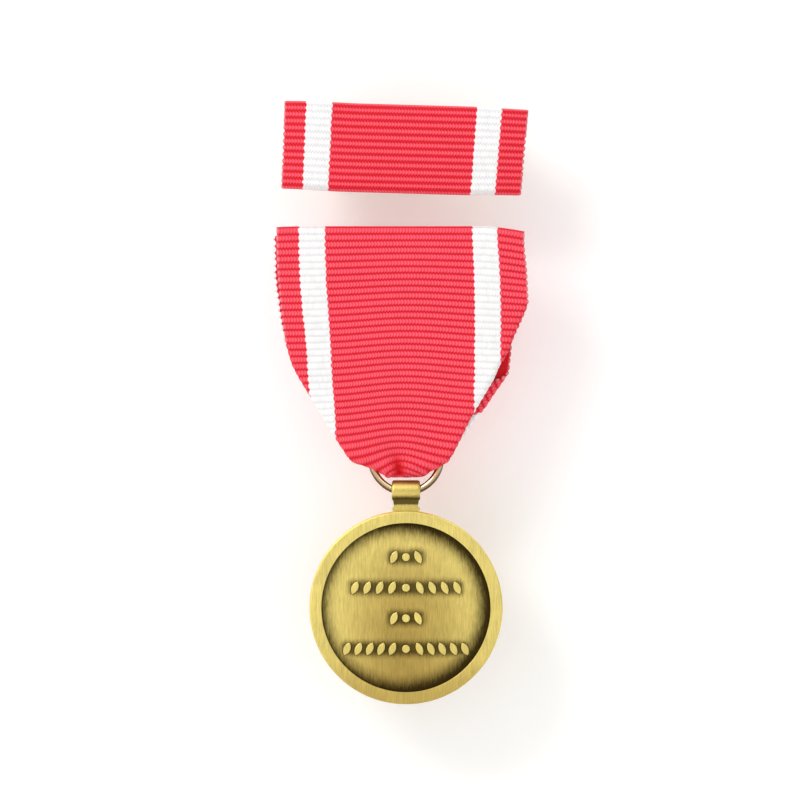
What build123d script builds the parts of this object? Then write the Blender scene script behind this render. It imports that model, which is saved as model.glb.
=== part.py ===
from build123d import *
import math
import os

# A military-style medal set: a round struck disc hung by a jump ring from a folded
# ribbon on a pin brooch, and the matching ribbon bar with two clutch-back posts.
# Millimetres. X runs across the ribbon, +Z up, and the side that is looked at faces -Y.
# The origin is the middle of the straight part of the brooch needle.

# Ribbon
RIBBON_W = 35.0
RIBBON_T = 0.45
GAP = 0.05
HEAD_TOP = 3.0
HEAD_BOTTOM = -2.5
FRONT_Y = -5.05

# Brooch
PLATE_W = 28.0
PLATE_T = 0.8
PLATE_H = 5.0
COVER_W = 30.0
COVER_T = 0.5
COVER_H = 4.2
COVER_BACK = -2.2
RIVET_X = 6.0
RIVET_R = 0.6
RIVET_HEAD_R = 1.1
RIVET_HEAD_T = 0.35

# Needle, hinge and catch
NEEDLE_R = 0.45
NEEDLE_STRAIGHT = 19.0
NEEDLE_END = -14.8
HINGE_X = 12.6
PIN_R = 0.5
RUNNING = 0.03
EYE_R = 1.2
EYE_H = 1.2
LUG_GAP = 0.1
LUG_T = 0.5
CATCH_X = -13.4
CATCH_L = 2.6
HOUSING_R = 1.85
ROLLER_R = 1.2
ROLLER_BORE = 0.62
SLOT_W = 1.2

# Drape
DRAPE_TOP = -2.8
DRAPE_BOTTOM = -32.5
DRAPE_BACK = -2.75
FOLD_HALF = 2.6
FOLD_TOP = -27.0
SHOULDER_Z = -8.0
WAIST = ((15.6, -14.8), (11.0, -24.0), (7.4, -29.1))

# Jump ring, bail and disc share one upright axis, a little to the right of the ribbon's middle
HANG_X = 0.7
HANG_Y = -3.85
RING_Z = -29.56
RING_R = 4.9
WIRE_R = 0.5
BAIL_W = 4.0
BAIL_FOOT_W = 3.3
BARREL_R = 1.45
BARREL_RISE = 0.21
BAIL_HOLE_R = 1.0
NECK_T = 1.5
DISC_R = 13.6
DISC_T = 2.4
DISC_Z = -50.7
RIM_W = 1.7
RECESS = 0.45
RAISE = 0.4

# Ribbon bar
BAR_X = 0.4
BAR_Z = 13.9
BAR_TILT = 1.6
BAR_W = 34.0
BAR_H = 12.5
BAR_PLATE_T = 0.8
BAR_FRONT = -4.1
POST_X = 9.5
POST_R = 0.5
POST_END = 6.2
POST_HEAD_R = 1.2
POST_HEAD_T = 0.3
GROOVE_R = 0.42
GROOVE = (1.45, 2.05)

# Clutches
CUP_R = 5.4
CUP_WALL = 0.45
CUP_FRONT = 0.3
CUP_H = 1.6
WING_T = 0.35
WING_HALF = 1.6
PIVOT_Y = 1.75
PIVOT_Z = 3.9
TRUNNION_R = 0.25
EAR_RISE = 3.3
EAR_FLARE = 1.7


def block(x, y, z):
    """A box between two limits on each axis."""
    size = (x[1] - x[0], y[1] - y[0], z[1] - z[0])
    centre = ((x[0] + x[1]) / 2, (y[0] + y[1]) / 2, (z[0] + z[1]) / 2)
    return Pos(*centre) * Box(*size)


def rod_x(radius, x0, x1, y, z):
    """A round bar along X."""
    return Pos((x0 + x1) / 2, y, z) * Rot(0, 90, 0) * Cylinder(radius, x1 - x0)


def rod_y(radius, y0, y1, x, z):
    """A round bar along Y."""
    return Pos(x, (y0 + y1) / 2, z) * Rot(90, 0, 0) * Cylinder(radius, y1 - y0)


def rod_z(radius, z0, z1, x, y):
    """A round bar along Z."""
    return Pos(x, y, (z0 + z1) / 2) * Cylinder(radius, z1 - z0)


def plate_y(outline, y0, y1):
    """A flat XZ outline made solid between two values of Y."""
    face = Plane.XZ * make_face(outline)
    return Pos(0, y1, 0) * extrude(face, y1 - y0, dir=(0, -1, 0))


def brooch_plate():
    """The stiff bar that the ribbon is folded over."""
    back = FRONT_Y + RIBBON_T + GAP + PLATE_T
    body = block((-PLATE_W / 2, PLATE_W / 2), (back - PLATE_T, back), (HEAD_BOTTOM, HEAD_BOTTOM + PLATE_H))
    body = fillet(body.edges().filter_by(Axis.Y), 0.4)
    for x in (-RIVET_X, RIVET_X):
        body -= rod_y(RIVET_R, back - 1, back + 1, x, 0)
    return body


def ribbon_head():
    """The ribbon where it is folded over the bar, with both of its ends behind the bar."""
    half = RIBBON_W / 2
    plate_back = FRONT_Y + RIBBON_T + 2 * GAP + PLATE_T
    front = block((-half, half), (FRONT_Y, FRONT_Y + RIBBON_T), (HEAD_BOTTOM, HEAD_TOP))
    top = block((-half, half), (FRONT_Y, DRAPE_BACK), (HEAD_TOP - RIBBON_T, HEAD_TOP))
    back = block((-half, half), (plate_back, DRAPE_BACK), (HEAD_BOTTOM, HEAD_TOP))
    body = front + top + back
    body = fillet(body.edges().filter_by(Axis.X).group_by(Axis.Z)[-1], 0.6)
    for x in (-RIVET_X, RIVET_X):
        body -= rod_y(RIVET_R + 0.05, plate_back - 0.5, 0, x, 0)
    return body


def brooch_cover():
    """The sheet-metal cover that clamps the ribbon's ends to the bar."""
    y = (COVER_BACK - COVER_T, COVER_BACK)
    body = block((-COVER_W / 2, COVER_W / 2), y, (-COVER_H / 2, COVER_H / 2))
    body = fillet(body.edges().filter_by(Axis.Y), 0.8)
    for x in (-RIVET_X, RIVET_X):
        body -= rod_y(RIVET_R, y[0] - 1, y[1] + 1, x, 0)
    return body


def rivet(x):
    """A rivet through the cover, the ribbon's ends and the bar."""
    front = FRONT_Y + RIBBON_T + GAP
    shank = rod_y(RIVET_R, front, COVER_BACK, x, 0)
    head = rod_y(RIVET_HEAD_R, COVER_BACK, COVER_BACK + RIVET_HEAD_T, x, 0)
    head = fillet(head.edges().group_by(Axis.Y)[-1], 0.25)
    return shank + head


def hinge_bracket():
    """Two folded lugs that carry the needle's hinge rivet."""
    inner = EYE_H / 2 + LUG_GAP
    outer = inner + LUG_T
    foot = block((HINGE_X - 2.0, HINGE_X + 1.6), (COVER_BACK, COVER_BACK + 0.4), (-outer, outer))
    body = foot
    for side in (-1, 1):
        z = sorted((side * inner, side * outer))
        web = block((HINGE_X - 1.3, HINGE_X + 1.3), (COVER_BACK, 0), z)
        lug = web + rod_z(1.3, z[0], z[1], HINGE_X, 0)
        body += lug - rod_z(PIN_R, z[0] - 1, z[1] + 1, HINGE_X, 0)
    return body


def hinge_rivet():
    """The rivet that the needle turns on, headed at both ends."""
    outer = EYE_H / 2 + LUG_GAP + LUG_T
    body = rod_z(PIN_R, -outer, outer, HINGE_X, 0)
    body += rod_z(0.85, outer, outer + 0.3, HINGE_X, 0)
    body += rod_z(0.85, -outer - 0.3, -outer, HINGE_X, 0)
    return body


def brooch_needle():
    """The pointed steel wire with a flattened eye at the hinge."""
    half = NEEDLE_STRAIGHT / 2
    taper = -half - NEEDLE_END
    shaft = rod_x(NEEDLE_R, -half, half, 0, 0)
    root = block((half, HINGE_X - 0.8), (-NEEDLE_R, NEEDLE_R), (-EYE_H / 2, EYE_H / 2))
    tip = Pos(-half - taper / 2, 0, 0) * Rot(0, -90, 0) * Cone(NEEDLE_R, 0.08, taper)
    eye = rod_z(EYE_R, -EYE_H / 2, EYE_H / 2, HINGE_X, 0)
    body = shaft + root + tip + eye
    return body - rod_z(PIN_R + RUNNING, -EYE_H, EYE_H, HINGE_X, 0)


def catch_housing():
    """The slotted barrel that the needle's point drops into."""
    x = (CATCH_X - CATCH_L / 2, CATCH_X + CATCH_L / 2)
    foot = block(x, (COVER_BACK, -0.9), (-1.3, 1.3))
    body = foot + rod_x(HOUSING_R, x[0], x[1], 0, 0)
    body -= rod_x(ROLLER_R + 0.05, x[0] - 1, x[1] + 1, 0, 0)
    body -= block((x[0] - 1, x[1] + 1), (0, 3), (-SLOT_W / 2, SLOT_W / 2))
    return body


def catch_roller():
    """The turning lock inside the catch, with a thumb tab; drawn with its slot open."""
    x0 = CATCH_X - CATCH_L / 2
    x1 = CATCH_X + CATCH_L / 2
    body = rod_x(ROLLER_R, x0 - 0.1, x1 + 0.3, 0, 0)
    body += rod_x(1.6, x0 - 0.6, x0 - 0.1, 0, 0)
    tab = block((x0 - 0.6, x0 - 0.1), (-0.6, 0.6), (1.0, 2.6))
    body += fillet(tab.edges().filter_by(Axis.X).group_by(Axis.Z)[-1], 0.5)
    body -= rod_x(ROLLER_BORE, x0 - 1, x1 + 1, 0, 0)
    body -= block((x0 - 1, x1 + 1), (0, 3), (-SLOT_W / 2 + 0.05, SLOT_W / 2 - 0.05))
    return body


def drape_outline():
    """Half-width against height of the hanging ribbon, mirrored about its middle."""
    half = RIBBON_W / 2
    right = [(half, SHOULDER_Z)] + list(WAIST) + [(HANG_X + FOLD_HALF, DRAPE_BOTTOM)]
    left = [(HANG_X - FOLD_HALF, DRAPE_BOTTOM)] + [(-x, z) for x, z in reversed(right[:-1])]
    side_r = Spline(*right, tangents=[(0, -1), (-1, -0.35)])
    side_l = Spline(*left, tangents=[(-1, 0.35), (0, 1)])
    edges = [Line((-half, DRAPE_TOP), (half, DRAPE_TOP)), Line((half, DRAPE_TOP), right[0])]
    edges += [side_r, Line(right[-1], left[0]), side_l, Line(left[-1], (-half, DRAPE_TOP))]
    return edges


def ribbon_drape():
    """Front and back panels of the hanging ribbon, joined where it passes through the ring."""
    front = plate_y(drape_outline(), FRONT_Y, FRONT_Y + RIBBON_T)
    back = plate_y(drape_outline(), DRAPE_BACK - RIBBON_T, DRAPE_BACK)
    fold_x = (HANG_X - FOLD_HALF, HANG_X + FOLD_HALF)
    fold = block(fold_x, (FRONT_Y, DRAPE_BACK), (DRAPE_BOTTOM, FOLD_TOP))
    body = front + back + fold
    return body


def jump_ring():
    """A round wire ring with its closed seam hidden in the ribbon's fold."""
    ring = Pos(HANG_X, HANG_Y, RING_Z) * Rot(90, 0, 0) * Torus(RING_R, WIRE_R)
    seam = Pos(HANG_X, HANG_Y, RING_Z + RING_R) * Rot(0, 20, 0) * Box(0.08, 3, 3)
    return ring - seam


def suspension_bail():
    """The transverse barrel over the ring and its neck down to the disc's rim."""
    hole_z = RING_Z - RING_R
    barrel_z = hole_z + BARREL_RISE
    foot_z = DISC_Z + DISC_R - 0.6
    half = BAIL_W / 2
    foot = BAIL_FOOT_W / 2
    barrel = rod_x(BARREL_R, -half, half, HANG_Y, barrel_z)
    barrel = fillet(barrel.edges().filter_by(GeomType.CIRCLE), 0.35)
    neck = Polyline(
        (-half, barrel_z), (half, barrel_z), (foot, foot_z + 0.9), (foot, foot_z), (-foot, foot_z),
        (-foot, foot_z + 0.9), close=True)
    body = barrel + plate_y(neck, HANG_Y - NECK_T / 2, HANG_Y + NECK_T / 2)
    body -= rod_x(BAIL_HOLE_R, -half - 1, half + 1, HANG_Y, hole_z)
    for side in (-1, 1):
        body += rod_y(0.32, HANG_Y - NECK_T / 2, HANG_Y + NECK_T / 2, side * foot, foot_z + 0.85)
    return Pos(HANG_X, 0, 0) * (body - rod_y(DISC_R, HANG_Y - 5, HANG_Y + 5, 0, DISC_Z))


def leaf(length, width):
    """A pointed leaf outline about the origin, standing along the sketch's Y axis."""
    half = length / 2
    right = ThreePointArc((0, -half), (width / 2, 0), (0, half))
    left = ThreePointArc((0, half), (-width / 2, 0), (0, -half))
    return make_face([right, left])


def leaf_row(z, pairs, pitch, first, y0, y1):
    """A row of leaves that lean towards a bead in the middle."""
    body = rod_y(0.55, y0, y1, HANG_X, z)
    for side in (-1, 1):
        for i in range(pairs):
            x = HANG_X + side * (first + i * pitch)
            shape = Plane.XZ * (Pos(x, z) * Rot(0, 0, side * 24) * leaf(1.95, 0.95))
            body += Pos(0, y1, 0) * extrude(shape, y1 - y0, dir=(0, -1, 0))
    return body


def medal_disc():
    """The struck disc: flat rims, recessed fields, raised leaf rows and a beaded back."""
    front = HANG_Y - DISC_T / 2
    back = HANG_Y + DISC_T / 2
    field_r = DISC_R - RIM_W
    body = rod_y(DISC_R, front, back, HANG_X, DISC_Z)
    body = chamfer(body.edges().filter_by(GeomType.CIRCLE), 0.18)
    body -= rod_y(field_r, front - 1, front + RECESS, HANG_X, DISC_Z)
    body -= rod_y(field_r, back - RECESS, back + 1, HANG_X, DISC_Z)
    y0 = front + RECESS - RAISE
    y1 = front + RECESS
    body += leaf_row(-43.6, 1, 1.55, 1.7, y0, y1)
    body += leaf_row(-47.9, 4, 1.75, 1.95, y0, y1)
    body += leaf_row(-52.2, 1, 1.55, 1.7, y0, y1)
    body += leaf_row(-56.5, 5, 1.6, 1.9, y0, y1)
    bead_y = (back - RECESS, back - RECESS + 0.3)
    for i in range(36):
        a = math.radians(i * 10)
        body += rod_y(0.45, bead_y[0], bead_y[1], HANG_X + 10.6 * math.sin(a), DISC_Z + 10.6 * math.cos(a))
    boss = rod_y(8.4, bead_y[0], bead_y[1], HANG_X, DISC_Z) - rod_y(7.8, -20, 20, HANG_X, DISC_Z)
    return body + boss


def on_bar(shape):
    """Places a shape drawn about the bar's own centre, with the bar's slight tilt."""
    return Pos(BAR_X, 0, BAR_Z) * Rot(0, BAR_TILT, 0) * shape


def bar_plate():
    """The carrier plate of the ribbon bar."""
    y = (BAR_FRONT + RIBBON_T + GAP, BAR_FRONT + RIBBON_T + GAP + BAR_PLATE_T)
    half = BAR_H / 2 - RIBBON_T - GAP - 0.15
    body = block((-BAR_W / 2 + 0.8, BAR_W / 2 - 0.8), y, (-half, half))
    body = fillet(body.edges().filter_by(Axis.Y), 0.8)
    return on_bar(body)


def bar_ribbon():
    """The ribbon wrapped round the carrier plate, with both ends turned in behind it."""
    back = BAR_FRONT + RIBBON_T * 2 + GAP * 2 + BAR_PLATE_T
    half_w = BAR_W / 2
    half_h = BAR_H / 2
    tuck = 3.4
    body = block((-half_w, half_w), (BAR_FRONT, back), (-half_h, half_h))
    body = fillet(body.edges().filter_by(Axis.X), 0.5)
    hollow = (BAR_FRONT + RIBBON_T, back - RIBBON_T)
    body -= block((-half_w - 1, half_w + 1), hollow, (-half_h + RIBBON_T, half_h - RIBBON_T))
    body -= block((-half_w - 1, half_w + 1), (hollow[0], back + 1), (-half_h + tuck, half_h - tuck))
    return on_bar(body)


def post(x):
    """A nail-headed post on the back of the carrier plate, with a groove for the jaws."""
    seat = BAR_FRONT + RIBBON_T + GAP + BAR_PLATE_T
    body = rod_y(POST_HEAD_R, seat, seat + POST_HEAD_T, x, 0)
    body += rod_y(POST_R, seat + POST_HEAD_T, POST_END - 1.0, x, 0)
    body += Pos(x, POST_END - 0.5, 0) * Rot(-90, 0, 0) * Cone(POST_R, 0.1, 1.0)
    groove = rod_y(POST_R + 0.5, GROOVE[0], GROOVE[1], x, 0) - rod_y(GROOVE_R, GROOVE[0], GROOVE[1], x, 0)
    return on_bar(body - groove)


def clutch_base(x):
    """The dished cup of a clutch, with four lugs for the two wings."""
    floor = CUP_FRONT + CUP_WALL
    body = rod_y(CUP_R, CUP_FRONT, CUP_FRONT + CUP_H, x, 0)
    body = fillet(body.edges().filter_by(GeomType.CIRCLE).group_by(Axis.Y)[0], 0.4)
    body -= rod_y(CUP_R - CUP_WALL, floor, CUP_FRONT + CUP_H + 1, x, 0)
    for sx in (-1, 1):
        for sz in (-1, 1):
            lug_x = sorted((x + sx * (WING_HALF + 0.1), x + sx * (WING_HALF + 0.5)))
            lug_z = sorted((sz * (PIVOT_Z - 0.6), sz * (PIVOT_Z + 0.5)))
            lug = block(lug_x, (floor - 0.1, PIVOT_Y + 0.5), lug_z)
            body += lug - rod_x(TRUNNION_R + RUNNING, lug_x[0] - 1, lug_x[1] + 1, PIVOT_Y, sz * PIVOT_Z)
    body -= rod_y(POST_R + 0.06, -10, 10, x, 0)
    return on_bar(body)


def clutch_wing(x, side):
    """A sprung wing: a jaw at the post, two trunnions and a flared finger grip."""
    t = WING_T / 2
    jaw = block((x - WING_HALF, x + WING_HALF), (PIVOT_Y - t, PIVOT_Y + t), (0.12, PIVOT_Z))
    jaw -= rod_y(POST_R + 0.06, -10, 10, x, 0)
    tip_y = PIVOT_Y + EAR_RISE
    tip_z = PIVOT_Z + EAR_FLARE
    profile = Polyline(
        (PIVOT_Y - t, PIVOT_Z - 0.4), (PIVOT_Y - t, PIVOT_Z + 0.1), (tip_y, tip_z),
        (tip_y + 0.15, tip_z - 0.4), (PIVOT_Y + t, PIVOT_Z - 0.4), close=True)
    ear = Pos(x - WING_HALF, 0, 0) * extrude(Plane.YZ * make_face(profile), 2 * WING_HALF, dir=(1, 0, 0))
    corner = sorted(ear.edges().filter_by(lambda e: e.length < 0.6), key=lambda e: -e.center().Y)[:2]
    ear = fillet(corner, 0.9)
    pivot = rod_x(TRUNNION_R, x - WING_HALF - 0.45, x + WING_HALF + 0.45, PIVOT_Y, PIVOT_Z)
    body = jaw + ear + pivot
    if side < 0:
        body = Pos(x, 0, 0) * Rot(0, 180, 0) * Pos(-x, 0, 0) * body
    return on_bar(body)


def assembly():
    """Every piece of the set by its node name."""
    nodes = {
        "brooch_plate": brooch_plate(),
        "ribbon_head": ribbon_head(),
        "brooch_cover": brooch_cover(),
        "rivet_left": rivet(-RIVET_X),
        "rivet_right": rivet(RIVET_X),
        "hinge_bracket": hinge_bracket(),
        "hinge_rivet": hinge_rivet(),
        "catch_housing": catch_housing(),
        "brooch_needle": brooch_needle(),
        "catch_roller": catch_roller(),
        "ribbon_drape": ribbon_drape(),
        "jump_ring": jump_ring(),
        "suspension_bail": suspension_bail(),
        "medal_disc": medal_disc(),
        "bar_plate": bar_plate(),
        "bar_ribbon": bar_ribbon(),
    }
    for name, x in (("left", -POST_X), ("right", POST_X)):
        nodes["post_" + name] = post(x)
        nodes["clutch_base_" + name] = clutch_base(x)
        nodes["wing_upper_" + name] = clutch_wing(x, 1)
        nodes["wing_lower_" + name] = clutch_wing(x, -1)
    return nodes


os.makedirs("parts", exist_ok=True)
for node, shape in assembly().items():
    solids = shape.solids()
    print(node, len(solids), round(shape.volume, 3))
    export_step(Compound(children=list(solids)) if len(solids) > 1 else solids[0], "parts/" + node + ".step")
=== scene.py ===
"""The looks of the medal set: woven ribbon, struck antique brass, gilt ring, plated fittings."""
import math

import bpy
import numpy as np
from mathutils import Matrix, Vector


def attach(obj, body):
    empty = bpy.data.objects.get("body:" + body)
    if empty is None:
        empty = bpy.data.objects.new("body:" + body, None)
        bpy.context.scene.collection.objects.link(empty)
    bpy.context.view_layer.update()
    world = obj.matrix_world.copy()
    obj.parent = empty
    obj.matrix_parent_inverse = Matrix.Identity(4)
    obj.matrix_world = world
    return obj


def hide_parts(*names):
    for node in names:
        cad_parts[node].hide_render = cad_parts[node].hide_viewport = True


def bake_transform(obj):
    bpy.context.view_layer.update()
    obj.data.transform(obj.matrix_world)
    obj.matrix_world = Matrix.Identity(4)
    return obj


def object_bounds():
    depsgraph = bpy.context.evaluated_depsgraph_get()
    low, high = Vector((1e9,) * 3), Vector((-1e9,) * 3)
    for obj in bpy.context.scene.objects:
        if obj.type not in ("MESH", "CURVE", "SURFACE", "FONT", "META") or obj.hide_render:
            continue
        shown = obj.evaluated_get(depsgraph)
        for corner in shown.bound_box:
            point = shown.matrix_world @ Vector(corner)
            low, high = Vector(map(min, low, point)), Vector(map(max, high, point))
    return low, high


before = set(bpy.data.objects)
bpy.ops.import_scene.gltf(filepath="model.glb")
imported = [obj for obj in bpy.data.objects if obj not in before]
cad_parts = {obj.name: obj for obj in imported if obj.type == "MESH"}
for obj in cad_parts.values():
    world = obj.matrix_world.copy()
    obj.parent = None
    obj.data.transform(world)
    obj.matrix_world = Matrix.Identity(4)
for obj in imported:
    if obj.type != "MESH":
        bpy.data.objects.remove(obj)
cad_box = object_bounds()
MM = 0.001

# Ribbon weave, in millimetres
RIB = 0.911
ROWS_PER_RIB = 5
COLUMNS = 105
HALF_WIDTH = 17.5
WHITE_LEFT = (-14.4, -10.7)
WHITE_RIGHT = (10.15, 13.7)
THREAD = 0.44
CLOTH = 0.36
RELIEF = 0.10

# The hanging ribbon's layers, front to back
FRONT_Y = -4.83
BACK_Y = -2.97
REAR_END_Y = -3.45
HANG_Y = -3.85
HEAD_TOP = 2.78
FOLD_Z = -32.2
FOLD_SLOPE = 0.05
RING_X = 0.7
RING_Z = -29.56
HOLE_R = 3.63
HOLE_FLAT = 2.6
# Extra length that a row needs to turn a quarter circle, for each millimetre of its radius
TURN_EXTRA = 0.571

# The ribbon bar
BAR_X = 0.4
BAR_Z = 13.9
BAR_TILT = 1.6
BAR_W = 34.0
BAR_RIB = 0.955
BAR_SCALLOP = 0.32

# The struck disc
DISC_Z = -50.7
FIELD_R = 11.9
ROWS = ((7.1, 2.2), (2.8, 7.7), (-1.5, 2.2), (-5.8, 8.8))


def smooth(a, b, x):
    """0 before a, 1 after b, and an eased step between them."""
    t = np.clip((np.asarray(x, float) - a) / (b - a), 0, 1)
    return t * t * (3 - 2 * t)


def through(knots, x):
    """A smooth curve through (place, value) knots, flat beyond the first and last."""
    kx = np.array([k[0] for k in knots], float)
    ky = np.array([k[1] for k in knots], float)
    if kx[0] > kx[-1]:
        kx, ky = kx[::-1], ky[::-1]
    slope = np.gradient(ky, kx)
    slope[0] = slope[-1] = 0
    x = np.clip(np.asarray(x, float), kx[0], kx[-1])
    i = np.clip(np.searchsorted(kx, x) - 1, 0, len(kx) - 2)
    h = kx[i + 1] - kx[i]
    t = (x - kx[i]) / h
    a = (2 * t ** 3 - 3 * t ** 2 + 1) * ky[i] + (t ** 3 - 2 * t ** 2 + t) * h * slope[i]
    b = (-2 * t ** 3 + 3 * t ** 2) * ky[i + 1] + (t ** 3 - t ** 2) * h * slope[i + 1]
    return a + b


def rib_height(along):
    """0 in the groove between two ribs and 1 on top of a rib."""
    return np.abs(np.sin(np.pi * along / RIB)) ** 0.85


def outline(corners, inset):
    """A dense smooth line through the corners, moved inwards by inset, with its outward normals."""
    corners = np.array(corners, float)
    step = np.r_[0, np.cumsum(np.linalg.norm(np.diff(corners, axis=0), axis=1))]
    t = np.linspace(0, step[-1], 500)
    line = np.stack([through(list(zip(step, corners[:, k])), t) for k in (0, 1)], axis=1)
    tangent = np.gradient(line, axis=0)
    tangent /= np.linalg.norm(tangent, axis=1)[:, None]
    normal = np.stack([tangent[:, 1], -tangent[:, 0]], axis=1)
    return line - normal * inset, normal


def fold_over(x, z, edge, radius_at):
    """Folds flat points over an outline: returns new x, z and how far behind (0 to 2 radii) each goes."""
    line, normal = edge
    points = np.stack([x.ravel(), z.ravel()], axis=1)
    nearest = np.empty(len(points), int)
    for start in range(0, len(points), 4000):
        part = points[start:start + 4000]
        gap = ((part[:, None, :] - line[None, :, :]) ** 2).sum(2)
        nearest[start:start + 4000] = gap.argmin(1)
    n = normal[nearest]
    out = ((points - line[nearest]) * n).sum(1)
    r = radius_at(line[nearest, 1])
    turn = np.clip((out + r) / r, 0, math.pi)
    past = np.maximum(out + r - math.pi * r, 0)
    moved = np.where(out < -r, out, -r + r * np.sin(turn) - past)
    points = points + (moved - out)[:, None] * n
    behind = np.where(out < -r, 0, r * (1 - np.cos(turn)))
    return points[:, 0].reshape(x.shape), points[:, 1].reshape(x.shape), behind.reshape(x.shape)


def push_ribs(points, along, across, scallop=0.26):
    """Raises the ribs along the surface normal and scallops the two woven edges."""
    du = np.gradient(points, axis=1)
    dv = np.gradient(points, axis=0)
    normal = np.cross(dv, du)
    normal /= np.maximum(np.linalg.norm(normal, axis=2), 1e-9)[:, :, None]
    height = (rib_height(along) - 0.7)[:, None]
    points = points + normal * (height * RELIEF)[:, :, None]
    side = du / np.maximum(np.linalg.norm(du, axis=2), 1e-9)[:, :, None]
    edge = smooth(HALF_WIDTH - 0.5, HALF_WIDTH, np.abs(across))[None, :] * np.sign(across)[None, :]
    return points + side * (edge * height * scallop)[:, :, None]


def sheet(name, points, along, across, painted_shade, material):
    """A cloth sheet from a grid of points in millimetres, given its thickness by a modifier."""
    rows, cols = points.shape[:2]
    index = np.arange(rows * cols).reshape(rows, cols)
    quads = np.stack([index[:-1, :-1], index[:-1, 1:], index[1:, 1:], index[1:, :-1]], axis=2)
    mesh = bpy.data.meshes.new(name)
    mesh.from_pydata((points.reshape(-1, 3) * MM).tolist(), [], quads.reshape(-1, 4).tolist())
    # For each point, how much painted shade the cloth gets.
    marks = (("across", np.tile(across, rows)), ("along", np.repeat(along, cols)), ("painted_shade", painted_shade.ravel()))
    for key, values in marks:
        layer = mesh.attributes.new(key, "FLOAT", "POINT")
        layer.data.foreach_set("value", values.astype(np.float32))
    mesh.polygons.foreach_set("use_smooth", [True] * len(mesh.polygons))
    mesh.materials.append(material)
    piece = bpy.data.objects.new(name, mesh)
    bpy.context.scene.collection.objects.link(piece)
    thick = piece.modifiers.new("thickness", "SOLIDIFY")
    thick.thickness = CLOTH * MM
    thick.offset = 0
    return piece


# Outer edge of the front layer and of the back layer as they hang, left top to right top
FRONT_EDGE = (
    (-19.5, 12), (-19.3, -2), (-18.2, -8.5), (-16.9, -12), (-15.95, -14.7), (-15.45, -16.4),
    (-14.6, -18.1), (-13.4, -20.1), (-11.4, -23.4), (-9.6, -26.4), (-8.3, -28.4), (-7.2, -30.0),
    (-4.7, -31.45), (-2.4, -32.3), (0, -32.42), (2.5, -32.35), (4.0, -32.0), (5.3, -31.5),
    (6.2, -30.8), (7.0, -29.8), (7.8, -28.3), (8.7, -26.5), (10.0, -23.9), (12.4, -19.8),
    (13.1, -18.6), (13.9, -16.8), (14.8, -15.4), (16.0, -12.6), (17.6, -8.8), (19.3, -2),
    (19.5, 12))
BACK_EDGE = (
    (-18.1, 12), (-18.1, -1), (-18.0, -5), (-17.55, -8.5), (-16.95, -11.7), (-16.35, -13.6),
    (-15.3, -16), (-13.9, -18.6), (-12.9, -20.4), (-11.1, -23.5), (-9.2, -26.7), (-7.0, -29.8),
    (-4.9, -31.2), (-2.4, -32.3), (0, -32.42), (2.5, -32.35), (5.2, -31.4), (7.1, -29.2),
    (8.9, -26.7), (10.9, -23.9), (11.7, -22.9), (13.4, -20.4), (15.0, -18.1), (16.4, -16.0),
    (18.4, -12), (19.5, -4), (19.5, 12))


def layer_y(z, back):
    """Depth of the front or back layer, which swells away from the ring near the fold."""
    swell = smooth(-11, -24, z)
    return BACK_Y + 0.6 * swell if back else FRONT_Y - 0.85 * swell


def fold_radius(back):
    """A tight fold up the sides and a full, round one under the ring."""
    def radius(z):
        full = np.abs(layer_y(z, back) - HANG_Y)
        side = 0.21 + 0.21 * smooth(-12, -20, z)
        low = smooth(-29.6, -31.8, z)
        return side * (1 - low) + full * low
    return radius


def spread(u, z, back):
    """How far out each warp thread lies at a height: the cloth narrows a little as it nears the ring."""
    if back:
        right = through([(3, 0.99), (-8, 0.965), (-12, 0.94), (-15, 0.925), (-18, 0.90), (-22, 0.88),
                         (-25.5, 0.84), (-29, 0.72), (-33, 0.66)], z)
        left = through([(3, 1.0), (-12, 0.97), (-20, 0.93), (-33, 0.85)], z)
        shift_right = through([(3, -0.35), (-4, -0.7), (-14, -0.7), (-24, -0.3), (-29, 0)], z)
        shift_left = through([(3, -4.3), (-8, -4.1), (-12, -3.4), (-15, -2.7), (-18, -1.9), (-22, -1),
                              (-28, 0)], z)
        share = (u / HALF_WIDTH + 1) / 2
        shift = shift_left + (shift_right - shift_left) * share
    else:
        right = through([(3, 0.985), (-3, 1.012), (-21, 1.012), (-26, 1.0), (-33, 0.98)], z)
        left = through([(3, 0.998), (-1, 0.995), (-4.6, 0.984), (-9.7, 0.955), (-14.7, 0.92), (-18, 0.908),
                        (-21.5, 0.88), (-26.6, 0.855), (-33, 0.85)], z)
        shift = 0.5 * smooth(-28, -32, z)
    return np.where(u > 0, u * right, u * left) + shift


def arch(u, z, back):
    """The weave's rows bow up in the middle, more and more sharply towards the fold."""
    rise = through([(3, 0), (-1, 0.35), (-6, 0.62), (-18, 0.95), (-26, 1.25), (-29, 1.7), (-31, 2.1)], z)
    wide = through([(3, 11), (-6, 9.5), (-18, 8), (-26, 6.5), (-29, 4.6), (-31, 3.4)], z)
    middle = through([(3, 1.2), (-18, 0.4), (-28, -0.4)], z)
    drop = rise * (1 - np.exp(-((u - middle) / wide) ** 2))
    return drop * (0.4 if back else 1.0)


def ring_hole(u):
    """Where each warp thread passes through the ring: level in the middle, then round the wire's inside."""
    middle = np.abs(u) < HOLE_FLAT
    share = np.clip(np.abs(u) - HOLE_FLAT, 0, None) / (HALF_WIDTH - HOLE_FLAT)
    angle = np.radians(38 + 112 * share)
    x = RING_X + np.where(middle, 0.86 * u, np.sign(u) * HOLE_R * np.sin(angle))
    z = np.where(middle, FOLD_Z, RING_Z - HOLE_R * np.cos(angle))
    return x, np.minimum(z, RING_Z + 2.6) + FOLD_SLOPE * (x - RING_X)


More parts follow.
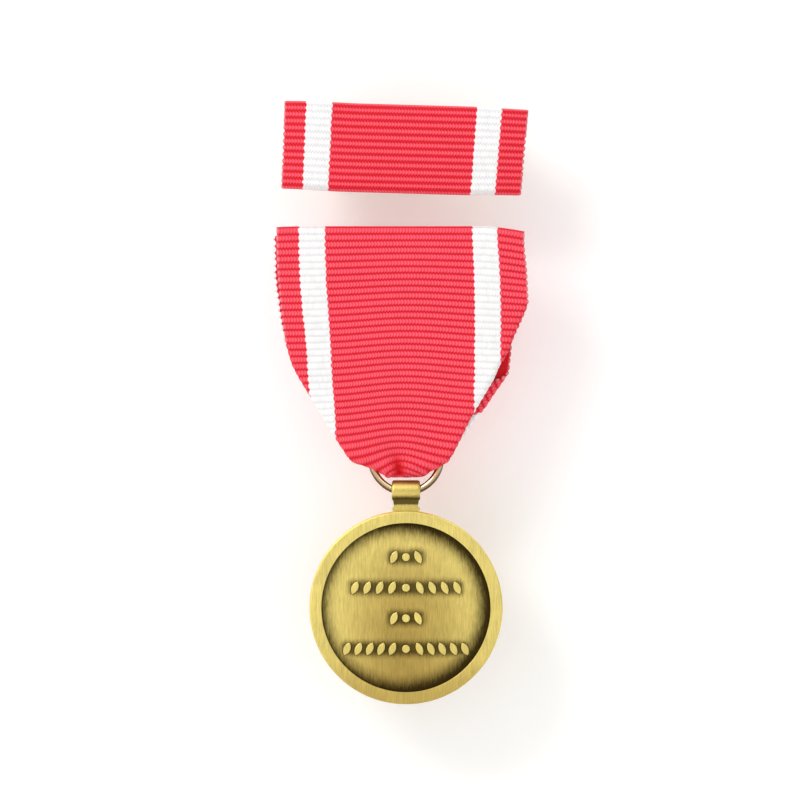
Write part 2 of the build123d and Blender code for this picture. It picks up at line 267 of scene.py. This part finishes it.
def hanging_half(u, z0, back):
    """The front or back layer: flat rows folded over the layer's outline and gathered into the ring."""
    grid_u, grid_z0 = np.meshgrid(u, z0)
    z = grid_z0 - arch(grid_u, grid_z0, back)
    x = spread(grid_u, z, back)
    edge = outline(BACK_EDGE if back else FRONT_EDGE, CLOTH / 2 + 0.02)
    x, z, behind = fold_over(x, z, edge, fold_radius(back))
    y = layer_y(z, back) + (-behind if back else behind)
    last = z0.min()
    near = grid_z0 - last
    tucked = smooth(0.35, 0.9, behind) * smooth(1.8, 4.2, np.abs(grid_u))
    goal_x, goal_z = ring_hole(grid_u)
    pull = tucked * smooth(6.0, 1.4, near)
    x = x + pull * (goal_x - x)
    z = z + pull * (goal_z - z)
    y = y + tucked * smooth(1.6, 0.0, near) * (HANG_Y - y)
    return np.stack([x, y, z], axis=2)


def soften(points, front_rows):
    """Slow unevenness over the strip, the drooping top corner and the pinch over the ring, with painted shade
    in the pinch's crease and in the back layer's patch inside the right-hand fold.
    """
    x, y, z = points[..., 0], points[..., 1], points[..., 2]
    in_front = smooth(HANG_Y, FRONT_Y, y)
    droop = 0.75 * np.clip((x - 11.3) / 6.2, 0, 1) ** 1.6 * smooth(-14, 3, z)
    droop += 0.12 * np.clip((-x - 13) / 4.5, 0, 1) ** 2 * smooth(-4, 3, z)
    wave = 0.07 * np.sin(0.36 * x + 0.9) * np.sin(0.23 * z + 0.4) + 0.05 * np.sin(0.19 * x - 0.31 * z)
    curl = 0.22 * smooth(13.5, 17.5, np.abs(x)) * smooth(1, -6, z)
    crease = np.exp(-((x + 0.65 + 0.15 * (z + 29)) / 0.82) ** 2 - ((z + 31.3) / 1.6) ** 2)
    pinch = 1.45 * crease + 0.6 * np.exp(-((x + 0.5) / 2.4) ** 2 - ((z + 29.3) / 2.6) ** 2)
    side = np.where(y < HANG_Y, 1.0, -1.0)
    y = y + side * curl + wave * smooth(2.0, -5, z) + in_front * pinch * front_rows
    # The back layer's patch inside the right-hand fold, which gets painted shade.
    pocket = smooth(12.6, 13.4, x) * smooth(-12.6, -14.6, z) * smooth(-19.6, -18.6, z) * (1 - front_rows)
    pocket = pocket * smooth(BACK_Y - 0.25, BACK_Y - 0.1, y)
    # Painted shade: how much darker red the crease over the ring and that patch are painted.
    painted_shade = np.clip(in_front * front_rows * crease * 1.25 + pocket, 0, 1)
    return np.stack([x, y, z - droop], axis=2), painted_shade


def drape_points():
    """The whole strip: clamped end, over the bar, down the front, through the ring and up the back."""
    u = np.linspace(-HALF_WIDTH, HALF_WIDTH, COLUMNS)
    step = RIB / ROWS_PER_RIB
    top_r = (REAR_END_Y - FRONT_Y) / 2
    centre = (FRONT_Y + REAR_END_Y) / 2
    top_z = HEAD_TOP - top_r
    rear = np.arange(-2.1, top_z, step)
    turn = np.arange(step, math.pi * top_r, step) / top_r
    head = [(REAR_END_Y, z) for z in rear]
    head += [(centre + top_r * math.cos(a), top_z + top_r * math.sin(a)) for a in turn]
    head_grid = np.array([[(x, y, z) for x in np.where(u > 0, u * 0.99, u * 0.998)] for y, z in head])
    front_end = FOLD_Z - TURN_EXTRA * abs(layer_y(-32.0, False) - HANG_Y)
    front = hanging_half(u, np.arange(top_z - 0.05, front_end, -step), False)
    back_end = FOLD_Z - TURN_EXTRA * abs(layer_y(-32.0, True) - HANG_Y)
    back = hanging_half(u, np.arange(back_end, 1.9, step), True)
    meet = (front[-1] + back[0]) / 2
    for half, ends, order in ((front, front[-1].copy(), -1), (back, back[0].copy(), 1)):
        for k in range(10):
            row = -1 - k if order < 0 else k
            half[row] += (meet - ends) * (1 - k / 10) ** 2
    points = np.concatenate([head_grid, front, back[1:]], axis=0)
    is_front = np.zeros((len(points), 1))
    is_front[len(head_grid):len(head_grid) + len(front)] = 1
    points, painted_shade = soften(points, is_front)
    along = np.arange(len(points)) * step
    return push_ribs(points, along, u), along, u, painted_shade


def bar_points():
    """The short strip wrapped round the ribbon bar's plate, both ends turned in behind."""
    u = np.linspace(-HALF_WIDTH, HALF_WIDTH, COLUMNS)
    step = BAR_RIB / ROWS_PER_RIB
    front, back, half = -3.9, -2.5, 6.05
    r = (back - front) / 2
    mid = (front + back) / 2
    turn = half - r
    tuck = [(back, z) for z in np.arange(-2.8, -turn, -step)]
    low = [(mid + r * math.cos(a), -turn - r * math.sin(a)) for a in np.arange(step, math.pi * r, step) / r]
    face = [(front, z) for z in np.arange(-turn, turn + step / 2, step)]
    path = np.array(tuck + low + face + [(y, -z) for y, z in low[::-1]] + [(y, -z) for y, z in tuck[::-1]])
    x = np.repeat((u * BAR_W / (2 * HALF_WIDTH))[None, :], len(path), axis=0)
    y = np.repeat(path[:, :1], COLUMNS, axis=1)
    z = np.repeat(path[:, 1:], COLUMNS, axis=1)
    on_face = smooth(mid, front, y)
    y = y - 0.28 * on_face * (1 - (z / half) ** 2) + 0.55 * smooth(11.5, 17.5, np.abs(x)) ** 2
    z = z * (1 - 0.032 * smooth(8, 17.2, np.abs(x))) + (0.18 + 0.023 * z) * smooth(-6, -17, x)
    x = x + z * (0.035 + 0.0015 * x)
    along = np.arange(len(path)) * RIB / ROWS_PER_RIB + 0.35
    grid = push_ribs(np.stack([x, y, z], axis=2), along, u, BAR_SCALLOP)
    tilt = math.radians(BAR_TILT)
    turned = grid.copy()
    turned[..., 0] = BAR_X + grid[..., 0] * math.cos(tilt) + grid[..., 2] * math.sin(tilt)
    turned[..., 2] = BAR_Z - grid[..., 0] * math.sin(tilt) + grid[..., 2] * math.cos(tilt)
    return turned, along, u, np.zeros(turned.shape[:2])


class Nodes:
    """Short calls that add shader nodes to a material and wire them."""

    def __init__(self, name):
        self.material = bpy.data.materials.new(name)
        self.material.use_nodes = True
        self.tree = self.material.node_tree
        self.shader = self.tree.nodes["Principled BSDF"]

    def add(self, kind, **values):
        node = self.tree.nodes.new("ShaderNode" + kind)
        for key, value in values.items():
            setattr(node, key, value)
        return node

    def plug(self, value, socket):
        if isinstance(value, bpy.types.NodeSocket):
            self.tree.links.new(value, socket)
        else:
            socket.default_value = value

    def math(self, operation, a, b=0.0, c=0.0):
        node = self.add("Math", operation=operation)
        for value, socket in zip((a, b, c), node.inputs):
            self.plug(value, socket)
        return node.outputs[0]

    def step(self, value, low, high, out_low=0.0, out_high=1.0):
        """An eased step from out_low to out_high as value goes from low to high."""
        node = self.add("MapRange", interpolation_type="SMOOTHSTEP")
        for item, socket in zip((value, low, high, out_low, out_high), node.inputs):
            self.plug(item, socket)
        return node.outputs[0]

    def mix(self, share, a, b, blend="MIX"):
        node = self.add("Mix", data_type="RGBA", blend_type=blend)
        self.plug(share, node.inputs[0])
        for value, socket in zip((a, b), (node.inputs[6], node.inputs[7])):
            self.plug(value if isinstance(value, bpy.types.NodeSocket) else (*value, 1.0), socket)
        return node.outputs[2]

    def grey(self, value, green=1.0, blue=1.0):
        """A value on all three colour channels, raised to a power on two of them for a brown or blue cast."""
        node = self.add("CombineColor")
        for power, socket in zip((1.0, green, blue), node.inputs):
            self.plug(self.math("POWER", value, power), socket)
        return node.outputs[0]

    def value_of(self, attribute):
        return self.add("Attribute", attribute_name=attribute).outputs["Fac"]

    def place(self, scale):
        """Object-space coordinates in millimetres, stretched by scale on each axis."""
        mapping = self.add("Mapping")
        mapping.inputs["Scale"].default_value = [s / MM for s in scale]
        self.plug(self.add("TexCoord").outputs["Object"], mapping.inputs["Vector"])
        return mapping.outputs["Vector"]

    def noise(self, vector, scale=1.0, detail=3.0, rough=0.5):
        node = self.add("TexNoise")
        self.plug(vector, node.inputs["Vector"])
        node.inputs["Scale"].default_value = scale
        node.inputs["Detail"].default_value = detail
        node.inputs["Roughness"].default_value = rough
        return node.outputs["Fac"]

    def bump(self, height, distance, strength=1.0, under=None):
        node = self.add("Bump")
        node.inputs["Strength"].default_value = strength
        node.inputs["Distance"].default_value = distance * MM
        self.plug(height, node.inputs["Height"])
        if under is not None:
            self.plug(under, node.inputs["Normal"])
        return node.outputs["Normal"]


def ribbon_material(name):
    """Ribbed grosgrain in red and white stripes, thread by thread, with painted highlight on the rib and
    thread tops and painted shade in the grooves and thread gaps.
    """
    n = Nodes(name)
    across = n.value_of("across")
    rows = n.math("DIVIDE", n.value_of("along"), RIB)
    row = n.math("FLOOR", rows)
    f = n.math("FRACT", rows)
    crest = n.math("MULTIPLY_ADD", n.math("COSINE", n.math("MULTIPLY", f, math.tau)), -0.5, 0.5)
    groove = n.math("SUBTRACT", 1.0, crest)
    lean = n.math("MULTIPLY", n.math("ABSOLUTE", n.math("SUBTRACT", f, 0.5)), 0.9)
    thread = n.math("ADD", n.math("DIVIDE", across, THREAD), lean)
    thread = n.math("ADD", thread, n.math("MULTIPLY", n.math("MODULO", row, 2.0), 0.5))
    ply = n.math("MULTIPLY_ADD", n.math("COSINE", n.math("MULTIPLY", thread, math.tau)), 0.5, 0.5)
    gap = n.math("SUBTRACT", 1.0, ply)
    cell = n.add("CombineXYZ")
    n.plug(n.math("FLOOR", thread), cell.inputs[0])
    n.plug(row, cell.inputs[1])
    scatter = n.add("TexWhiteNoise", noise_dimensions="3D")
    n.plug(cell.outputs[0], scatter.inputs["Vector"])
    jitter = scatter.outputs["Value"]
    cloud = n.noise(n.place((0.12, 0.12, 0.12)), 1.0, 2.0)
    fibre = n.noise(n.place((9.0, 9.0, 2.0)), 1.0, 3.0)

    # Painted highlight: thread tops along each rib's crest turn a paler red.
    thread_highlight = n.math("MULTIPLY", n.math("MULTIPLY", n.math("POWER", ply, 1.5), crest), 0.85)
    # Painted shade: dark marks in the gaps between threads down in the grooves, darker red on the red and
    # grey dots on the white.
    gap_shade = n.math("MULTIPLY", n.math("MULTIPLY", groove, groove), gap)
    # Painted highlight and shade: each rib's top is a lighter red and its groove a darker red.
    red = n.mix(n.step(crest, 0.12, 0.75), (0.90, 0.011, 0.030), (0.96, 0.056, 0.098))
    red = n.mix(thread_highlight, red, (1.0, 0.16, 0.21))
    red = n.mix(n.math("MULTIPLY", gap_shade, 0.95), red, (0.50, 0.001, 0.010))
    facing = n.add("SeparateXYZ")
    n.plug(n.add("TexCoord").outputs["Normal"], facing.inputs[0])
    # Painted shade: the crease and the fold's patch turn darker red where they face the front.
    shaded = n.math("MULTIPLY", n.value_of("painted_shade"), n.step(facing.outputs["Y"], 0.25, -0.25))
    red = n.mix(shaded, red, (0.78, 0.005, 0.015))
    # Painted highlight and shade: the white is brighter on the rib tops than in the grooves.
    white = n.mix(n.step(crest, 0.0, 0.6), (0.92, 0.91, 0.915), (0.97, 0.965, 0.965))
    white = n.mix(n.math("MULTIPLY", n.math("MULTIPLY", gap_shade, gap), 0.6), white, (0.52, 0.49, 0.51))
    weave = n.math("MULTIPLY_ADD", n.math("SUBTRACT", crest, 0.5), 0.17, across)
    side = n.math("ADD", weave, n.math("MULTIPLY", n.math("SUBTRACT", jitter, 0.5), 0.08))
    stripe = None
    for low, high in (WHITE_LEFT, WHITE_RIGHT):
        past_low = n.step(side, low - 0.03, low + 0.03)
        inside = n.math("MULTIPLY", past_low, n.step(side, high + 0.03, high - 0.03))
        stripe = inside if stripe is None else n.math("ADD", stripe, inside)
    colour = n.mix(stripe, red, white)
    # Paler selvedge threads along both edges, shown only on the rib tops: partly the threads' own colour,
    # partly painted highlight.
    border = n.step(n.math("ABSOLUTE", across), HALF_WIDTH - 0.35, HALF_WIDTH - 0.05)
    colour = n.mix(n.math("MULTIPLY", n.math("MULTIPLY", border, crest), 0.45), colour, (0.97, 0.62, 0.66))
    shade = n.math("MULTIPLY_ADD", jitter, 0.07, 0.955)
    shade = n.math("MULTIPLY", shade, n.math("MULTIPLY_ADD", cloud, 0.08, 0.96))
    tone = n.add("HueSaturation")
    n.plug(colour, tone.inputs["Color"])
    n.plug(shade, tone.inputs["Value"])
    n.plug(tone.outputs["Color"], n.shader.inputs["Base Color"])

    height = n.math("MULTIPLY", crest, n.math("MULTIPLY_ADD", ply, 0.6, 0.4))
    height = n.math("ADD", height, n.math("MULTIPLY", fibre, 0.4))
    n.plug(n.bump(height, 0.10, 0.8), n.shader.inputs["Normal"])
    n.plug(n.math("MULTIPLY_ADD", fibre, 0.2, 0.6), n.shader.inputs["Roughness"])
    n.shader.inputs["Sheen Weight"].default_value = 0.08
    n.shader.inputs["Sheen Roughness"].default_value = 0.4
    n.shader.inputs["Specular IOR Level"].default_value = 0.25
    return n.material


def disc_patina_and_shade(n):
    """Dark patina on the disc, along the recess wall and round the raised rows, and the field's tone: partly
    brown toning, partly painted shade, darker in the middle and towards the bottom.
    """
    place = n.add("SeparateXYZ")
    n.plug(n.place((1, 1, 1)), place.inputs[0])
    x = n.math("SUBTRACT", place.outputs["X"], RING_X)
    y = n.math("SUBTRACT", place.outputs["Y"], HANG_Y)
    z = n.math("SUBTRACT", place.outputs["Z"], DISC_Z)
    brushed = n.math("SUBTRACT", n.noise(n.place((6.0, 1.0, 0.9)), 1.0, 4.0, 0.65), 0.5)
    radial = n.math("SQRT", n.math("ADD", n.math("MULTIPLY", x, x), n.math("MULTIPLY", z, z)))
    uneven = n.math("MULTIPLY_ADD", brushed, 1.5, radial)
    wall = n.step(n.math("ADD", uneven, n.step(x, -10.0, 4.0, -0.75, 0.0)), FIELD_R - 3.1, FIELD_R - 0.35)
    wall = n.math("MULTIPLY", wall, n.step(radial, FIELD_R + 0.06, FIELD_R))
    halo = 0.0
    for height, half in ROWS:
        dx = n.math("MAXIMUM", n.math("SUBTRACT", n.math("ABSOLUTE", x), half - 0.3), 0.0)
        dz = n.math("ABSOLUTE", n.math("SUBTRACT", z, height))
        dz = n.math("MAXIMUM", n.math("SUBTRACT", dz, 0.3), 0.0)
        gap = n.math("SQRT", n.math("ADD", n.math("MULTIPLY", dx, dx), n.math("MULTIPLY", dz, dz)))
        gap = n.math("MULTIPLY_ADD", brushed, 1.0, gap)
        halo = n.math("MAXIMUM", halo, n.step(gap, 0.1, 1.35, 0.85, 0.0))
    halo = n.math("MULTIPLY", halo, n.step(y, -0.5, 0.0, 1.0, 0.0))
    dark = n.math("MAXIMUM", wall, halo)
    dark = n.math("MULTIPLY", dark, n.step(n.math("ABSOLUTE", y), 1.05, 0.95))
    # The sunk field is darker and browner in the middle and towards the bottom, partly toning and partly
    # painted shade; raised tops and the rim keep their full tone.
    across = n.math("DIVIDE", x, 8.0)
    down = n.math("DIVIDE", n.math("ADD", z, 3.0), 11.0)
    middle = n.math("SQRT", n.math("ADD", n.math("MULTIPLY", across, across), n.math("MULTIPLY", down, down)))
    field = n.step(middle, 0.0, 1.6, 0.56, 1.0)
    field = n.math("MAXIMUM", field, n.step(n.math("ABSOLUTE", y), 0.95, 1.05))
    return dark, n.math("MULTIPLY", field, n.step(z, -13.5, -3.0, 0.70, 1.06))


def bail_shade(n):
    """Painted shade on the bail, under the barrel where it turns in to the neck and faces down, and along its
    top where it curves back.
    """
    place = n.add("SeparateXYZ")
    n.plug(n.place((1, 1, 1)), place.inputs[0])
    z = n.math("ADD", place.outputs["Z"], n.math("MULTIPLY", n.noise(n.place((4.0, 4.0, 4.0))), 0.35))
    # Painted shade under the barrel, where the bail faces down, and along its top, where it curves back.
    under = n.math("MULTIPLY", n.step(z, -34.5, -35.2), n.step(z, -36.25, -35.9))
    top = n.step(z, -33.6, -32.7, 0.0, 0.65)
    return n.math("MAXIMUM", n.math("MULTIPLY", under, 0.95), top), 0.9


def metal_material(name, colour, rough, patina_and_shade=None, reach=1.0, grain=(5.0, 5.0, 5.0), scratch=0.01,
                   edge=0.08, streak=0.05, hollows=None, rim_shade=None):
    """Metal with soft edges, fine grain, slow changes of tone and, if asked, a dark colour in the hollows
    that is real patina on the antique brass and painted shade on the steel and clutches, plus painted shade
    on the gilt wire's turned-away and downward-facing sides.
    """
    n = Nodes(name)
    fine = n.noise(n.place(grain), 1.0, 4.0, 0.6)
    cloud = n.noise(n.place((0.21, 0.21, 0.21)), 1.0, 4.0, 0.6)
    spots = n.noise(n.place((1.7, 1.7, 1.7)), 1.0, 3.0, 0.6)
    tone = n.mix(n.step(cloud, 0.3, 0.7), tuple(c * 0.88 for c in colour), colour)
    tone = n.mix(1.0, tone, n.grey(n.step(fine, 0.2, 0.8, 1.0 - streak, 1.0 + streak)), "MULTIPLY")
    dull = n.step(fine, 0.25, 0.8, rough - 0.05, rough + 0.09)
    if rim_shade:
        # Painted shade on the wire: darker where it turns away from the camera and where it faces down.
        facing = n.add("LayerWeight")
        facing.inputs["Blend"].default_value = 0.5
        turned = n.step(facing.outputs["Facing"], 0.12, 0.42)
        upward = n.add("SeparateXYZ")
        n.plug(n.add("TexCoord").outputs["Normal"], upward.inputs[0])
        turned = n.math("MAXIMUM", turned, n.step(upward.outputs["Z"], 0.20, -0.45, 0.0, 0.92))
        tone = n.mix(turned, tone, rim_shade)
    if patina_and_shade:
        # Darkening in the hollows found by occlusion: real patina on the antique brass, painted shade on the
        # plated steel and the clutches.
        hollow = n.add("AmbientOcclusion", samples=8, only_local=True)
        hollow.inputs["Distance"].default_value = reach * MM
        open_sky = n.math("MULTIPLY_ADD", n.math("SUBTRACT", spots, 0.5), 0.35, hollow.outputs["AO"])
        dark = n.step(open_sky, 0.98, 0.45)
        if hollows:
            extra, toning_and_shade = hollows(n)
            dark = n.math("MAXIMUM", dark, extra)
            # Darkens and browns the tone: toning, with painted shade on the disc's field.
            tone = n.mix(1.0, tone, n.grey(toning_and_shade, 1.25, 1.55), "MULTIPLY")
        tone = n.mix(dark, tone, patina_and_shade)
        dull = n.math("MULTIPLY_ADD", dark, 0.2, dull)
    n.plug(tone, n.shader.inputs["Base Color"])
    n.plug(dull, n.shader.inputs["Roughness"])
    n.shader.inputs["Metallic"].default_value = 1.0
    rounded = n.add("Bevel", samples=4)
    rounded.inputs["Radius"].default_value = edge * MM
    height = n.math("ADD", fine, n.math("MULTIPLY", spots, 0.6))
    n.plug(n.bump(height, scratch, 0.7, rounded.outputs["Normal"]), n.shader.inputs["Normal"])
    return n.material


def paint(material, *names):
    """Gives CAD nodes a finish."""
    for name in names:
        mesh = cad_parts[name].data
        mesh.materials.clear()
        mesh.materials.append(material)
        mesh.polygons.foreach_set("material_index", [0] * len(mesh.polygons))


def plane(name, corners, material):
    """A flat sheet of the stage through four corners in millimetres."""
    mesh = bpy.data.meshes.new(name)
    mesh.from_pydata([Vector(c) * MM for c in corners], [], [range(4)])
    mesh.materials.append(material)
    piece = bpy.data.objects.new(name, mesh)
    bpy.context.scene.collection.objects.link(piece)
    return piece


def marker(name, place, body):
    """An unseen point that moves with a body, so that the backdrop can keep clear of it."""
    point = bpy.data.objects.new(name, None)
    point.location = Vector(place) * MM
    bpy.context.scene.collection.objects.link(point)
    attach(point, body)
    return point


def paper_material():
    """White paper that is only there for a camera facing the front of the object."""
    n = Nodes("paper")
    speck = n.noise(n.place((0.9, 0.9, 0.9)), 1.0, 5.0, 0.6)
    tone = n.mix(speck, (0.96, 0.96, 0.955), (0.985, 0.985, 0.985))
    n.plug(tone, n.shader.inputs["Base Color"])
    n.shader.inputs["Roughness"].default_value = 0.9
    n.shader.inputs["Specular IOR Level"].default_value = 0.1
    n.shader.inputs["Emission Color"].default_value = (1, 1, 1, 1)
    n.shader.inputs["Emission Strength"].default_value = 0.14
    turn = n.add("VectorTransform", vector_type="POINT", convert_from="CAMERA", convert_to="WORLD")
    turn.inputs[0].default_value = (0, 0, 0)
    toward = n.add("VectorMath", operation="NORMALIZE")
    n.plug(turn.outputs[0], toward.inputs[0])
    parts = n.add("SeparateXYZ")
    n.plug(toward.outputs[0], parts.inputs[0])
    frontal = n.math("LESS_THAN", parts.outputs["Y"], -0.87)
    clear = n.add("BsdfTransparent")
    either = n.add("MixShader")
    n.plug(frontal, either.inputs[0])
    n.plug(clear.outputs[0], either.inputs[1])
    n.plug(n.shader.outputs[0], either.inputs[2])
    n.plug(either.outputs[0], n.tree.nodes["Material Output"].inputs["Surface"])
    return n.material


def floor_material():
    """A pale matt table top."""
    n = Nodes("table_top")
    speck = n.noise(n.place((0.4, 0.4, 0.4)), 1.0, 4.0, 0.6)
    n.plug(n.mix(speck, (0.80, 0.80, 0.79), (0.86, 0.86, 0.855)), n.shader.inputs["Base Color"])
    n.shader.inputs["Roughness"].default_value = 0.7
    return n.material


def area_light(name, place, target, size, power, colour=(1, 1, 1)):
    """A square soft light at a place in millimetres, facing a target."""
    data = bpy.data.lights.new(name, "AREA")
    data.shape = "SQUARE"
    data.size = size * MM
    data.energy = power
    data.color = colour
    light = bpy.data.objects.new(name, data)
    light.location = Vector(place) * MM
    light.rotation_mode = "QUATERNION"
    light.rotation_quaternion = (Vector(target) - Vector(place)).to_track_quat("-Z", "Y")
    bpy.context.scene.collection.objects.link(light)
    return light


def studio_world():
    """White surroundings; what the metal mirrors is brighter at upper left and darker straight ahead."""
    world = bpy.data.worlds.new("studio")
    bpy.context.scene.world = world
    world.use_nodes = True
    tree = world.node_tree
    tree.nodes.clear()

    def add(kind, **values):
        node = tree.nodes.new("ShaderNode" + kind)
        for key, value in values.items():
            setattr(node, key, value)
        return node

    where = add("TexCoord")
    side = add("VectorMath", operation="DOT_PRODUCT")
    side.inputs[1].default_value = Vector((-0.66, -0.25, 0.71)).normalized()
    ahead = add("VectorMath", operation="DOT_PRODUCT")
    ahead.inputs[1].default_value = (0.05, -1.0, -0.12)
    slope = add("MapRange", interpolation_type="SMOOTHSTEP")
    dim = add("MapRange", interpolation_type="SMOOTHSTEP")
    for socket, value in zip(slope.inputs[1:5], (-0.6, 0.9, 0.32, 1.22)):
        socket.default_value = value
    for socket, value in zip(dim.inputs[1:5], (0.86, 1.0, 1.0, 0.62)):
        socket.default_value = value
    mirrored = add("Math", operation="MULTIPLY")
    path = add("LightPath")
    pick = add("Mix", data_type="FLOAT")
    pick.inputs[2].default_value = 0.79
    seen = add("Mix", data_type="FLOAT")
    seen.inputs[3].default_value = 0.90
    background = add("Background")
    background.inputs["Color"].default_value = (1, 1, 1, 1)
    output = add("OutputWorld")
    link = tree.links.new
    link(where.outputs["Generated"], side.inputs[0])
    link(where.outputs["Generated"], ahead.inputs[0])
    link(side.outputs["Value"], slope.inputs["Value"])
    link(ahead.outputs["Value"], dim.inputs["Value"])
    link(slope.outputs[0], mirrored.inputs[0])
    link(dim.outputs[0], mirrored.inputs[1])
    link(path.outputs["Is Glossy Ray"], pick.inputs[0])
    link(mirrored.outputs[0], pick.inputs[3])
    link(path.outputs["Is Camera Ray"], seen.inputs[0])
    link(pick.outputs[0], seen.inputs[2])
    link(seen.outputs[0], background.inputs["Strength"])
    link(background.outputs[0], output.inputs["Surface"])


def build_ribbons():
    """The hanging ribbon and the bar's ribbon, each in place of its plain CAD block."""
    cloth = ribbon_material("ribbon_grosgrain")
    drape = sheet("ribbon_strip", *drape_points(), cloth)
    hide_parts("ribbon_head", "ribbon_drape")
    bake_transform(drape)
    bar = sheet("bar_ribbon_strip", *bar_points(), cloth)
    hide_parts("bar_ribbon")
    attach(bar, "bar")


def build_metals():
    """Finishes for every CAD node that shows."""
    struck = metal_material("antique_brass", (0.93, 0.74, 0.22), 0.36, patina_and_shade=(0.045, 0.028, 0.006),
                            reach=0.9, grain=(9.0, 9.0, 0.6), scratch=0.016, edge=0.20, streak=0.16,
                            hollows=disc_patina_and_shade)
    rolled = metal_material("bail_brass", (0.93, 0.74, 0.22), 0.36, patina_and_shade=(0.10, 0.068, 0.016), reach=0.9,
                            grain=(6.0, 6.0, 6.0), edge=0.12, streak=0.12, hollows=bail_shade)
    # The gilt ring's edges and underside are painted dark brown as shade.
    gilt = metal_material("gilt_wire", (1.0, 0.79, 0.46), 0.13, grain=(2.0, 2.0, 2.0), scratch=0.004,
                          edge=0.05, streak=0.03, rim_shade=(0.10, 0.035, 0.012))
    # Painted shade: the steel fittings' hollows are darkened.
    steel = metal_material("plated_steel", (0.66, 0.65, 0.63), 0.28, patina_and_shade=(0.16, 0.15, 0.14), reach=0.6,
                           grain=(1.0, 6.0, 6.0), scratch=0.008)
    needle = metal_material("needle_steel", (0.86, 0.86, 0.87), 0.16, grain=(1.0, 8.0, 8.0), scratch=0.003,
                            edge=0.03)
    # Painted shade: the clutches' hollows are darkened.
    clutch = metal_material("clutch_brass", (0.92, 0.70, 0.34), 0.24, patina_and_shade=(0.25, 0.16, 0.06), reach=0.7,
                            grain=(4.0, 1.5, 4.0), scratch=0.006)
    paint(struck, "medal_disc")
    paint(rolled, "suspension_bail")
    paint(gilt, "jump_ring")
    paint(steel, "brooch_plate", "brooch_cover", "rivet_left", "rivet_right", "hinge_bracket",
          "catch_housing", "catch_roller")
    paint(needle, "brooch_needle", "hinge_rivet", "post_left", "post_right")
    paint(clutch, "bar_plate", "clutch_base_left", "clutch_base_right", "wing_upper_left", "wing_lower_left",
          "wing_upper_right", "wing_lower_right")


def build_stage():
    """Paper behind, table below, soft lights and the camera."""
    corners = [(-400, 0, -300), (400, 0, -300), (400, 0, 300), (-400, 0, 300)]
    paper = plane("backdrop", corners, paper_material())
    low, high = cad_box
    reach = [marker("clear_of_disc", (0, -2.6, -64.4), "medal"),
             marker("clear_of_needle", (-14.8, 0, 0), "needle"),
             marker("clear_of_left_clutch", (0, high.y / MM, BAR_Z), "clutch_left"),
             marker("clear_of_right_clutch", (0, high.y / MM, BAR_Z), "clutch_right")]
    depth = paper.driver_add("location", 1).driver
    depth.type = "SCRIPTED"
    for k, point in enumerate(reach):
        variable = depth.variables.new()
        variable.name = "y%d" % k
        variable.type = "TRANSFORMS"
        variable.targets[0].id = point
        variable.targets[0].transform_type = "LOC_Y"
        variable.targets[0].transform_space = "WORLD_SPACE"
    depth.expression = "max(y0 + 0.003, y1 + 0.003, y2 + 0.001, y3 + 0.001, %f)" % (high.y + 0.004)
    floor_z = low.z / MM - 26
    plane("table", [(-900, -900, floor_z), (900, -900, floor_z), (900, 900, floor_z), (-900, 900, floor_z)],
          floor_material())
    middle = (0, -3, -22)
    area_light("key", (-260, -330, 250), middle, 190, 0.72)
    area_light("fill", (300, -380, 60), middle, 320, 0.12)
    area_light("back", (-150, 380, 240), middle, 260, 0.8)
    studio_world()
    data = bpy.data.cameras.new("camera")
    data.sensor_width = 36
    data.lens = 190.4
    data.clip_start = 0.01
    data.clip_end = 10
    camera = bpy.data.objects.new("camera", data)
    camera.location = (-0.14 * MM, -600 * MM, -21.5 * MM)
    camera.rotation_euler = (math.pi / 2, 0, 0)
    bpy.context.scene.collection.objects.link(camera)
    bpy.context.scene.camera = camera
    bpy.context.scene.view_settings.view_transform = "Standard"


build_ribbons()
build_metals()
build_stage()
